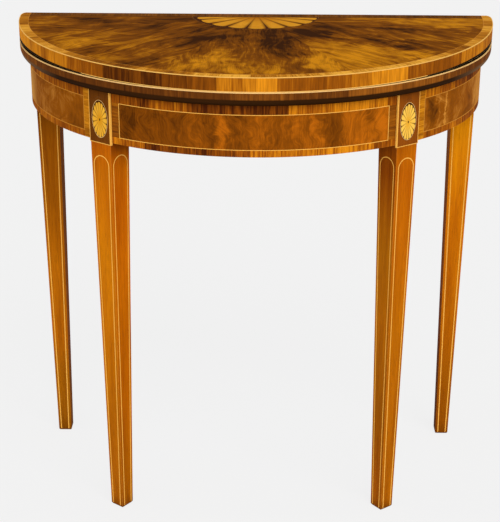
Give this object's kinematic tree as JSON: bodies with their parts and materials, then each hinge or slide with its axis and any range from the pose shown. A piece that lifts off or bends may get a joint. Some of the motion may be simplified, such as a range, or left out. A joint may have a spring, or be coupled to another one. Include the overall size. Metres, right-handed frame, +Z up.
{
  "type": "demi-lune card table",
  "caption": "Half-round folding card table with inlaid veneer, square tapered legs, and swing rear legs that carry the opened top.",
  "frame": {"origin": "on the floor, below the middle of the bounding box of the closed table", "axes": "+X to the right seen from the round front, +Y towards the straight back edge, +Z up"},
  "size_m": [0.79, 0.4003, 0.7701],
  "materials": {
    "top_veneer": "polished figured mahogany veneer with crossbanded edges",
    "frieze_veneer": "polished flame mahogany veneer with crossbands and light stringing",
    "leg_wood": "polished golden mahogany with light stringing",
    "tablet_wood": "polished dark mahogany",
    "light_inlay": "polished satinwood, edges shaded with hot sand",
    "baize": "felted green wool cloth",
    "rail_wood": "unpolished beech",
    "inner_wood": "unpolished pine",
    "brass": "aged brass",
    "iron": "dull steel"
  },
  "bodies": {
    "table_frame": {"lower_leaf": "top_veneer", "baize_lower": "baize", "apron_front": "frieze_veneer", "apron_left": "frieze_veneer", "apron_right": "frieze_veneer", "front_leg_left": "leg_wood", "front_leg_right": "leg_wood", "tablet_left": "tablet_wood", "tablet_right": "tablet_wood", "patera_left": "light_inlay", "patera_right": "light_inlay", "inner_back_rail": "inner_wood", "fly_rail_centre": "rail_wood", "medial_brace": "inner_wood", "glue_block_1": "inner_wood", "glue_block_2": "inner_wood", "glue_block_3": "inner_wood", "glue_block_4": "inner_wood", "glue_block_back_1": "inner_wood", "glue_block_back_2": "inner_wood", "leaf_screw_1": "iron", "leaf_screw_2": "iron", "leaf_screw_3": "iron", "leaf_screw_4": "iron", "leaf_screw_5": "iron", "leaf_screw_6": "iron", "hinge_bar_lower_left": "brass", "hinge_bar_lower_right": "brass", "hinge_pin_lower_left": "iron", "hinge_pin_lower_right": "iron", "hinge_screw_lower_left_1": "brass", "hinge_screw_lower_left_2": "brass", "hinge_screw_lower_right_1": "brass", "hinge_screw_lower_right_2": "brass", "knuckle_pin_left": "iron", "knuckle_pin_right": "iron"},
    "gate_left": {"gate_rail_left": "rail_wood", "rear_leg_left": "leg_wood"},
    "gate_right": {"gate_rail_right": "rail_wood", "rear_leg_right": "leg_wood"},
    "hinge_links": {"hinge_link_left": "brass", "hinge_link_right": "brass"},
    "folding_leaf": {"upper_leaf": "top_veneer", "fan_inlay": "light_inlay", "baize_upper": "baize", "hinge_bar_upper_left": "brass", "hinge_bar_upper_right": "brass", "hinge_pin_upper_left": "iron", "hinge_pin_upper_right": "iron", "hinge_screw_upper_left_1": "brass", "hinge_screw_upper_left_2": "brass", "hinge_screw_upper_right_1": "brass", "hinge_screw_upper_right_2": "brass"}
  },
  "joints": [
    {"name": "gate_left_swing", "type": "hinge", "parent": "table_frame", "child": "gate_left", "pos_m": [-0.15, 0.16, 0.68], "axis": [0, 0, -1], "range_deg": [0, 85]},
    {"name": "gate_right_swing", "type": "hinge", "parent": "table_frame", "child": "gate_right", "pos_m": [0.15, 0.16, 0.68], "axis": [0, 0, 1], "range_deg": [0, 85]},
    {"name": "link_swing", "type": "hinge", "parent": "table_frame", "child": "hinge_links", "pos_m": [0, 0.1935, 0.7368], "axis": [-1, 0, 0], "range_deg": [0, 90]},
    {"name": "leaf_fold", "type": "hinge", "parent": "hinge_links", "child": "folding_leaf", "pos_m": [0, 0.1935, 0.7512], "axis": [-1, 0, 0], "range_deg": [0, 91.12]}
  ],
  "couplings": [
    {"joint": "link_swing", "follows": "leaf_fold", "ratio": 0.9877}
  ]
}
